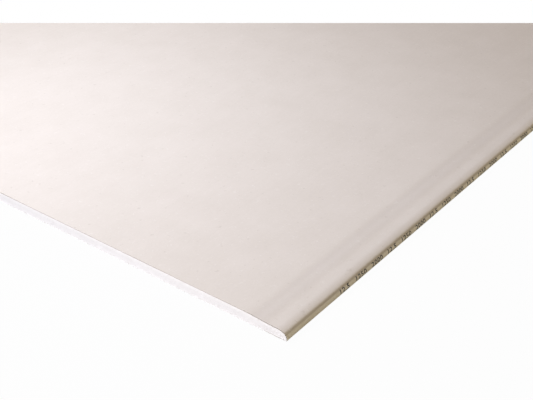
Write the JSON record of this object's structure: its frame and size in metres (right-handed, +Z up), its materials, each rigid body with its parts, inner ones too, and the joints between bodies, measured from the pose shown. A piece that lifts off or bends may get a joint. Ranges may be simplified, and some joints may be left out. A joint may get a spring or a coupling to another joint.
{
  "type": "drywall sheet",
  "caption": "Flat plasterboard sheet: gypsum core between paper liners, half-round tapered long edges and square cut ends, for lining walls and ceilings.",
  "frame": {"origin": "centre of the sheet's underside, on the surface that it lies on", "axes": "+X across the width, +Y along the length, +Z up through the face"},
  "size_m": [1.25, 2, 0.0125],
  "materials": {
    "face_paper": "pale ivory liner paper, matt, with fine fibre mottling",
    "back_paper": "grey-brown recycled liner paper, matt, with flecks",
    "gypsum": "white cast gypsum, chalky, with fine pores where it is cut"
  },
  "bodies": {
    "root": {"face_paper": "face_paper", "back_paper": "back_paper", "gypsum_core": "gypsum"}
  },
  "joints": []
}
